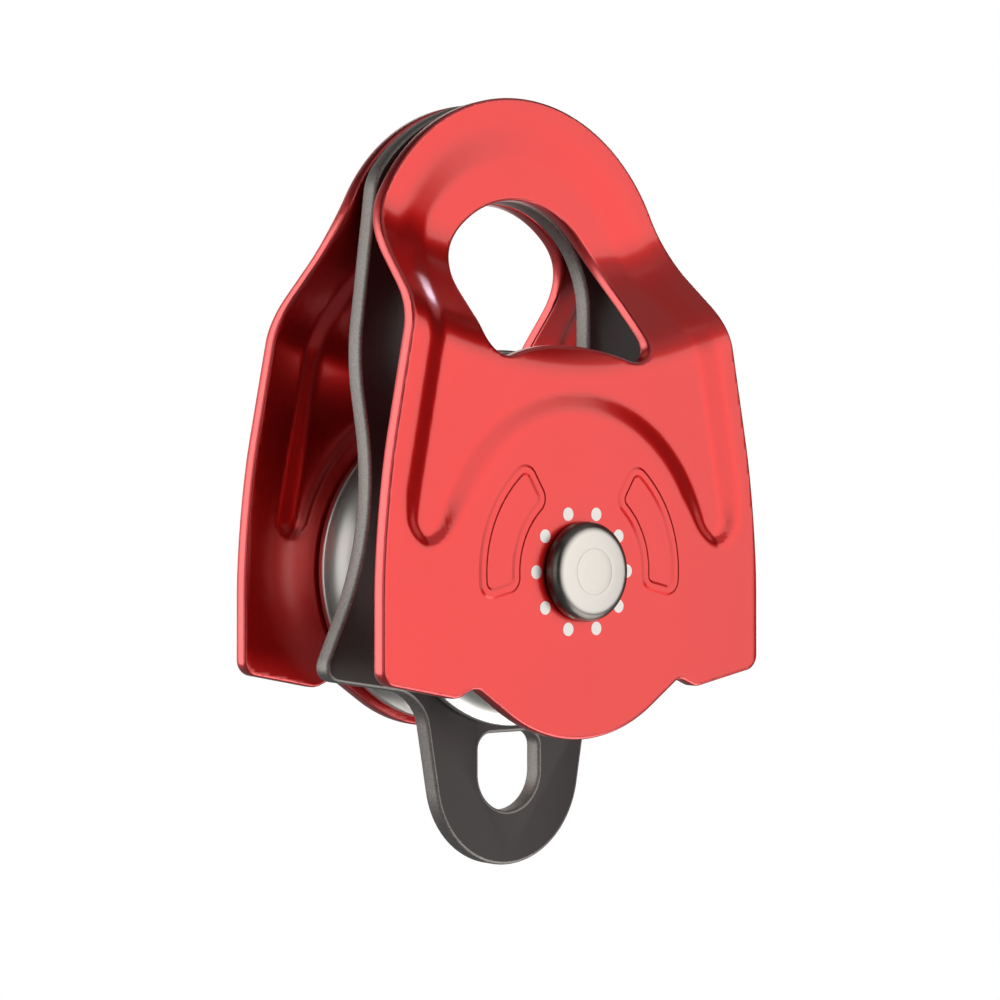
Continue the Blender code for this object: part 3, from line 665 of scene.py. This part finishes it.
def ramp_value(tree, value, low, high):
    """A value of 0 to 1 spread between two sockets or numbers."""
    node = tree.nodes.new("ShaderNodeMapRange")
    tree.links.new(value, node.inputs["Value"])
    for label, limit in (("To Min", low), ("To Max", high)):
        if isinstance(limit, (int, float)):
            node.inputs[label].default_value = limit
        else:
            tree.links.new(limit, node.inputs[label])
    return node.outputs["Result"]


def bump(tree, height, strength, depth):
    """A normal bent by a height, whose strength may be a socket."""
    node = tree.nodes.new("ShaderNodeBump")
    node.inputs["Distance"].default_value = depth
    tree.links.new(height, node.inputs["Height"])
    if isinstance(strength, (int, float)):
        node.inputs["Strength"].default_value = strength
    else:
        tree.links.new(strength, node.inputs["Strength"])
    return node.outputs["Normal"]


def blasted_group():
    """The fine even grain of blasted and anodised metal, with broad faint clouds."""
    group, given, out = new_group(
        "blasted_grain",
        {"Scale": 3000.0, "Cloud Scale": 40.0, "Low Roughness": 0.3, "High Roughness": 0.4, "Bump": 0.1},
        {"Grain": "NodeSocketFloat", "Clouds": "NodeSocketFloat", "Roughness": "NodeSocketFloat",
         "Normal": "NodeSocketVector"})
    place = group.nodes.new("ShaderNodeTexCoord").outputs["Object"]
    grain = noise(group, place, given.outputs["Scale"], GRAIN_DETAIL)
    clouds = noise(group, place, given.outputs["Cloud Scale"], CLOUD_DETAIL)
    rough = ramp_value(group, grain, given.outputs["Low Roughness"], given.outputs["High Roughness"])
    group.links.new(grain, out.inputs["Grain"])
    group.links.new(clouds, out.inputs["Clouds"])
    group.links.new(rough, out.inputs["Roughness"])
    group.links.new(bump(group, grain, given.outputs["Bump"], GRAIN_DEPTH), out.inputs["Normal"])
    return group


def axle_places(group):
    """Distance from the axle line and place along it, for every point of a surface."""
    place = group.nodes.new("ShaderNodeTexCoord").outputs["Object"]
    from_axle = group.nodes.new("ShaderNodeVectorMath")
    from_axle.operation = "SUBTRACT"
    from_axle.inputs[1].default_value = (0.0, 0.0, AXLE_HEIGHT)
    group.links.new(place, from_axle.inputs[0])
    apart = group.nodes.new("ShaderNodeSeparateXYZ")
    group.links.new(from_axle.outputs["Vector"], apart.inputs["Vector"])
    flat = group.nodes.new("ShaderNodeCombineXYZ")
    group.links.new(apart.outputs["X"], flat.inputs["X"])
    group.links.new(apart.outputs["Z"], flat.inputs["Y"])
    radius = group.nodes.new("ShaderNodeVectorMath")
    radius.operation = "LENGTH"
    group.links.new(flat.outputs["Vector"], radius.inputs[0])
    return place, radius.outputs["Value"], apart.outputs["Y"]


def turning_group():
    """Fine rings left by a lathe round the axle line."""
    group, given, out = new_group(
        "turning_rings",
        {"Scale": 2500.0, "Low Roughness": 0.2, "High Roughness": 0.35, "Bump": 0.1},
        {"Rings": "NodeSocketFloat", "Roughness": "NodeSocketFloat", "Normal": "NodeSocketVector"})
    _, radius, along = axle_places(group)
    ring_place = group.nodes.new("ShaderNodeCombineXYZ")
    group.links.new(radius, ring_place.inputs["X"])
    group.links.new(along, ring_place.inputs["Y"])
    rings = noise(group, ring_place.outputs["Vector"], given.outputs["Scale"], RING_DETAIL)
    rough = ramp_value(group, rings, given.outputs["Low Roughness"], given.outputs["High Roughness"])
    group.links.new(rings, out.inputs["Rings"])
    group.links.new(rough, out.inputs["Roughness"])
    group.links.new(bump(group, rings, given.outputs["Bump"], GRAIN_DEPTH), out.inputs["Normal"])
    return group


def shoulder_shade_group():
    """Painted shade: a blotched dark ring that grows outwards between two distances from the axle line."""
    group, given, out = new_group(
        "shoulder_painted_shade", {"Start": 0.0070, "End": 0.0084, "Scale": 700.0, "Faintest": 0.75},
        {"Painted Shade": "NodeSocketFloat"})
    place, radius, _ = axle_places(group)
    ring = group.nodes.new("ShaderNodeMapRange")
    ring.interpolation_type = "SMOOTHSTEP"
    group.links.new(radius, ring.inputs["Value"])
    group.links.new(given.outputs["Start"], ring.inputs["From Min"])
    group.links.new(given.outputs["End"], ring.inputs["From Max"])
    patches = noise(group, place, given.outputs["Scale"], GRAIN_DETAIL)
    blotches = ramp_value(group, patches, given.outputs["Faintest"], 1.0)
    mask = group.nodes.new("ShaderNodeMath")
    mask.operation = "MULTIPLY"
    group.links.new(ring.outputs["Result"], mask.inputs[0])
    group.links.new(blotches, mask.inputs[1])
    group.links.new(mask.outputs["Value"], out.inputs["Painted Shade"])
    return group


def with_painted_shade(tree, colour, group, dark):
    """A colour that turns dark where the painted shade lies."""
    effect = tree.nodes.new("ShaderNodeGroup")
    effect.node_tree = group
    mix = tree.nodes.new("ShaderNodeMix")
    mix.data_type = "RGBA"
    mix.inputs["B"].default_value = (*dark, 1.0)
    tree.links.new(colour, mix.inputs["A"])
    tree.links.new(effect.outputs["Painted Shade"], mix.inputs["Factor"])
    return mix.outputs["Result"]


def surface(scale, low_roughness, high_roughness, depth):
    """The inputs that the grain and the turning rings share."""
    return {"Scale": scale, "Low Roughness": low_roughness, "High Roughness": high_roughness, "Bump": depth}


def new_finish(name, group, values, dark, light, mask, painted_shade=None, **sockets):
    """A material whose colour runs between two shades by a mask of a group, darkened by painted shade where
    one is given.
    """
    material = bpy.data.materials.new(name)
    material.use_nodes = True
    tree = material.node_tree
    shader = tree.nodes["Principled BSDF"]
    effect = tree.nodes.new("ShaderNodeGroup")
    effect.node_tree = group
    for label, value in values.items():
        effect.inputs[label].default_value = value
    colour = tree.nodes.new("ShaderNodeMix")
    colour.data_type = "RGBA"
    colour.inputs["A"].default_value = (*dark, 1.0)
    colour.inputs["B"].default_value = (*light, 1.0)
    tree.links.new(effect.outputs[mask], colour.inputs["Factor"])
    shade = colour.outputs["Result"]
    if painted_shade:
        shade = with_painted_shade(tree, shade, *painted_shade)
    tree.links.new(shade, shader.inputs["Base Color"])
    tree.links.new(effect.outputs["Roughness"], shader.inputs["Roughness"])
    tree.links.new(effect.outputs["Normal"], shader.inputs["Normal"])
    for label, value in sockets.items():
        shader.inputs[label.replace("_", " ").title().replace("Ior", "IOR")].default_value = value
    return material


def dress_inner_pieces(races, cages, seals):
    """Finishes of the pieces that keep their solids: bearings, spacers and bushes."""
    for name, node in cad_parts.items():
        finish = races
        if "seal" in name:
            finish = seals
        elif "cage" in name or "bush" in name:
            finish = cages
        for place in node.material_slots:
            place.material = finish


def area_lamp(name, azimuth, rise, distance, size, glow, tint):
    """A soft box of even glow, turned to the middle of the part. Azimuth 0 is in front of it."""
    data = bpy.data.lights.new(name, "AREA")
    data.shape = "RECTANGLE"
    data.size, data.size_y = size
    data.energy = glow * math.pi * size[0] * size[1]
    data.color = tint
    lamp = bpy.data.objects.new(name, data)
    turn, lift = math.radians(azimuth), math.radians(rise)
    towards = Vector((math.sin(turn) * math.cos(lift), -math.cos(turn) * math.cos(lift), math.sin(lift)))
    lamp.location = towards * distance + Vector((0.0, 0.0, AXLE_HEIGHT))
    lamp.rotation_euler = (-towards).to_track_quat("-Z", "Y").to_euler()
    lamp.visible_camera = False
    bpy.context.scene.collection.objects.link(lamp)


def glow_by_ray(tree, kind, seen, unseen):
    """A white glow of one strength to the camera and another as light."""
    ray = tree.nodes.new("ShaderNodeLightPath")
    strength = tree.nodes.new("ShaderNodeMapRange")
    strength.inputs["To Min"].default_value = unseen
    strength.inputs["To Max"].default_value = seen
    glow = tree.nodes.new(kind)
    glow.inputs["Color"].default_value = (1.0, 1.0, 1.0, 1.0)
    tree.links.new(ray.outputs["Is Camera Ray"], strength.inputs["Value"])
    tree.links.new(strength.outputs["Result"], glow.inputs["Strength"])
    return glow.outputs[0]


def studio():
    """A white room with a pale floor and soft boxes."""
    scene = bpy.context.scene
    scene.view_settings.view_transform = "Standard"
    lens = bpy.data.cameras.new("camera")
    lens.lens = LENS
    lens.sensor_width = SENSOR_WIDTH
    camera = bpy.data.objects.new("camera", lens)
    camera.location = EYE
    camera.rotation_euler = SIGHT.to_track_quat("-Z", "Y").to_euler()
    scene.collection.objects.link(camera)
    scene.camera = camera
    world = bpy.data.worlds.new("white_room")
    scene.world = world
    world.use_nodes = True
    tree = world.node_tree
    tree.nodes.clear()
    out = tree.nodes.new("ShaderNodeOutputWorld")
    tree.links.new(glow_by_ray(tree, "ShaderNodeBackground", 1.0, ROOM_GLOW), out.inputs["Surface"])
    pale = bpy.data.materials.new("pale_floor")
    pale.use_nodes = True
    tree = pale.node_tree
    tree.nodes.clear()
    out = tree.nodes.new("ShaderNodeOutputMaterial")
    tree.links.new(glow_by_ray(tree, "ShaderNodeEmission", 1.0, FLOOR_GLOW), out.inputs["Surface"])
    bm = bmesh.new()
    lie = Matrix.Translation((0.0, 0.0, AXLE_HEIGHT - FLOOR_DROP))
    bmesh.ops.create_grid(bm, x_segments=1, y_segments=1, size=FLOOR_HALF, matrix=lie)
    floor = finish_mesh(bm, "floor", [pale])
    for name, values in SOFT_BOXES.items():
        area_lamp(name, *values)


# Finishes
blasted = blasted_group()
turning = turning_group()
red_face = new_finish(
    "red_anodised", blasted, surface(5000.0, 0.38, 0.48, 0.08),
    (0.78, 0.005, 0.005), (0.84, 0.007, 0.007), "Clouds",
    metallic=1.0, coat_weight=1.0, coat_ior=1.7, coat_roughness=0.18)
red_edge = new_finish(
    "red_cut_edge", blasted, surface(2500.0, 0.3, 0.5, 0.3),
    (0.72, 0.012, 0.020), (0.86, 0.03, 0.04), "Grain",
    metallic=1.0, coat_weight=1.0, coat_ior=1.9, coat_roughness=0.25)
black_face = new_finish(
    "black_anodised", blasted, surface(4000.0, 0.36, 0.5, 0.15),
    (0.014, 0.009, 0.011), (0.027, 0.018, 0.021), "Clouds", metallic=0.0, ior=1.6)
black_edge = new_finish(
    "black_cut_edge", blasted, surface(2500.0, 0.35, 0.6, 0.5),
    (0.11, 0.105, 0.104), (0.41, 0.395, 0.39), "Grain", metallic=0.8, ior=1.6)
silver = new_finish(
    "turned_aluminium", turning, surface(2500.0, 0.25, 0.42, 0.1),
    (0.82, 0.82, 0.81), (0.92, 0.92, 0.91), "Rings", metallic=1.0)
steel = new_finish(
    "turned_steel", turning, surface(1800.0, 0.25, 0.36, 0.05),
    (0.60, 0.59, 0.56), (0.70, 0.69, 0.66), "Rings", metallic=1.0)
# Painted shade: the button heads' steel darkens in a blotched ring on the round shoulder.
head_steel = new_finish(
    "steel_with_painted_shade", turning, surface(1800.0, 0.28, 0.40, 0.05),
    (0.62, 0.61, 0.59), (0.72, 0.71, 0.69), "Rings", (shoulder_shade_group(), (0.10, 0.092, 0.085)), metallic=1.0)
bronze = new_finish(
    "bush_bronze", turning, surface(2500.0, 0.3, 0.45, 0.1),
    (0.40, 0.24, 0.10), (0.52, 0.33, 0.15), "Rings", metallic=1.0)
rubber = new_finish(
    "seal_rubber", blasted, surface(3000.0, 0.5, 0.7, 0.3),
    (0.012, 0.012, 0.012), (0.03, 0.03, 0.03), "Grain", metallic=0.0)
etched = new_finish(
    "etched_dots", blasted, surface(6000.0, 0.3, 0.42, 0.1),
    (0.68, 0.68, 0.68), (0.76, 0.76, 0.76), "Grain", metallic=1.0)

# Pieces
side_plates(red_face, red_edge)
banana_ribs(red_face)
dot_rings(etched)
centre_plate(black_face, black_edge)
axle(steel)
for end, side in (("front", FRONT), ("rear", REAR)):
    sheave(end, side, silver)
    axle_head(end, side, head_steel)
dress_inner_pieces(steel, bronze, rubber)
studio()
